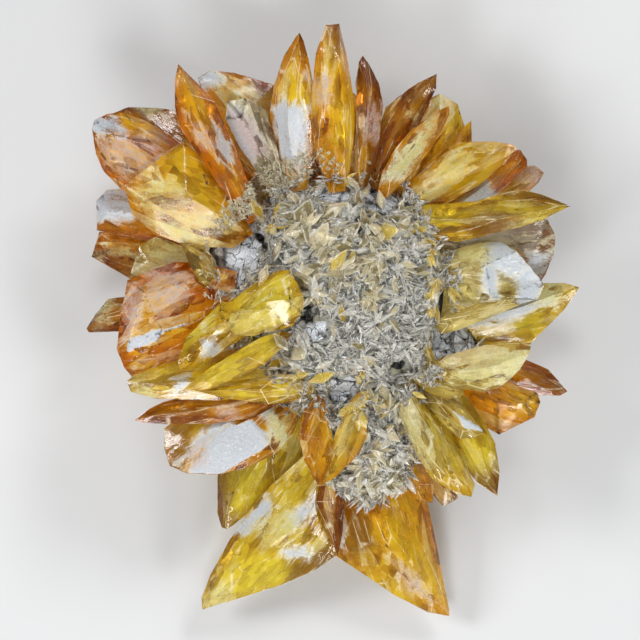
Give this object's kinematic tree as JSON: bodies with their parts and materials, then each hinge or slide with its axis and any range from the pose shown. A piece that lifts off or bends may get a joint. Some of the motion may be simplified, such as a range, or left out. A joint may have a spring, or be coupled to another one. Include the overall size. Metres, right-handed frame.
{
  "type": "duckbill selenite cluster",
  "caption": "Rosette of golden lens-shaped selenite crystals round a grey heart of fine crystals, with two large pointed blades at its foot.",
  "frame": {"origin": "middle of the flat spot on the back of the heart, on which the cluster lies", "axes": "+Z out of the flower's face, away from the surface it lies on; +Y away from the two foot blades; +X to the right seen from above"},
  "size_m": [0.0839, 0.1008, 0.039],
  "materials": {
    "heart": "fine sugary crystals",
    "orange": "glassy, with frosted patches",
    "amber": "glassy, with frosted patches",
    "yellow": "glassy, with frosted patches",
    "pale": "glassy, with frosted patches",
    "brown": "glassy, with frosted patches",
    "silver": "glassy, with frosted patches"
  },
  "bodies": {
    "root": {"heart": "heart", "gold_lens": "yellow", "left_leaves": "amber", "yellow_lens": "yellow", "twin_kites": "amber", "top_pair": "orange", "top_needle": "brown", "pale_petal": "pale", "brown_spear": "brown", "orange_spear": "orange", "right_spear": "yellow", "pale_lens": "pale", "clear_lens": "pale", "small_leaf": "pale", "frosted_lens": "pale", "silver_leaf": "silver", "little_leaf": "pale", "striped_blade": "pale", "white_facet": "silver", "glare_wing": "silver", "amber_petal": "amber", "left_long_blade": "yellow", "pink_plate": "orange", "big_pink_plate": "orange", "red_blade": "orange", "lower_right_blade": "yellow", "yellow_fang": "yellow", "dark_brown_tip": "amber", "smoky_disc": "brown", "right_sail": "amber", "deep_orange_petal": "orange", "amber_slab": "orange", "brown_fan_plate": "brown", "ragged_plate": "pale", "striated_block": "orange", "cream_triangle": "pale", "glare_plate": "amber", "dark_wing": "brown", "left_spear": "amber", "red_spear": "orange", "orange_stub": "orange", "brown_stub": "brown", "lower_left_crystal": "yellow", "red_tip": "brown", "inner_foot": "brown", "left_foot": "yellow", "right_foot": "amber", "back_blade_1": "orange", "back_blade_2": "brown", "back_blade_3": "amber", "back_blade_4": "orange", "back_blade_5": "brown", "back_blade_6": "amber", "back_blade_7": "orange", "back_blade_8": "brown", "back_blade_9": "amber", "back_blade_10": "orange", "back_blade_11": "brown", "back_blade_12": "amber"}
  },
  "joints": []
}
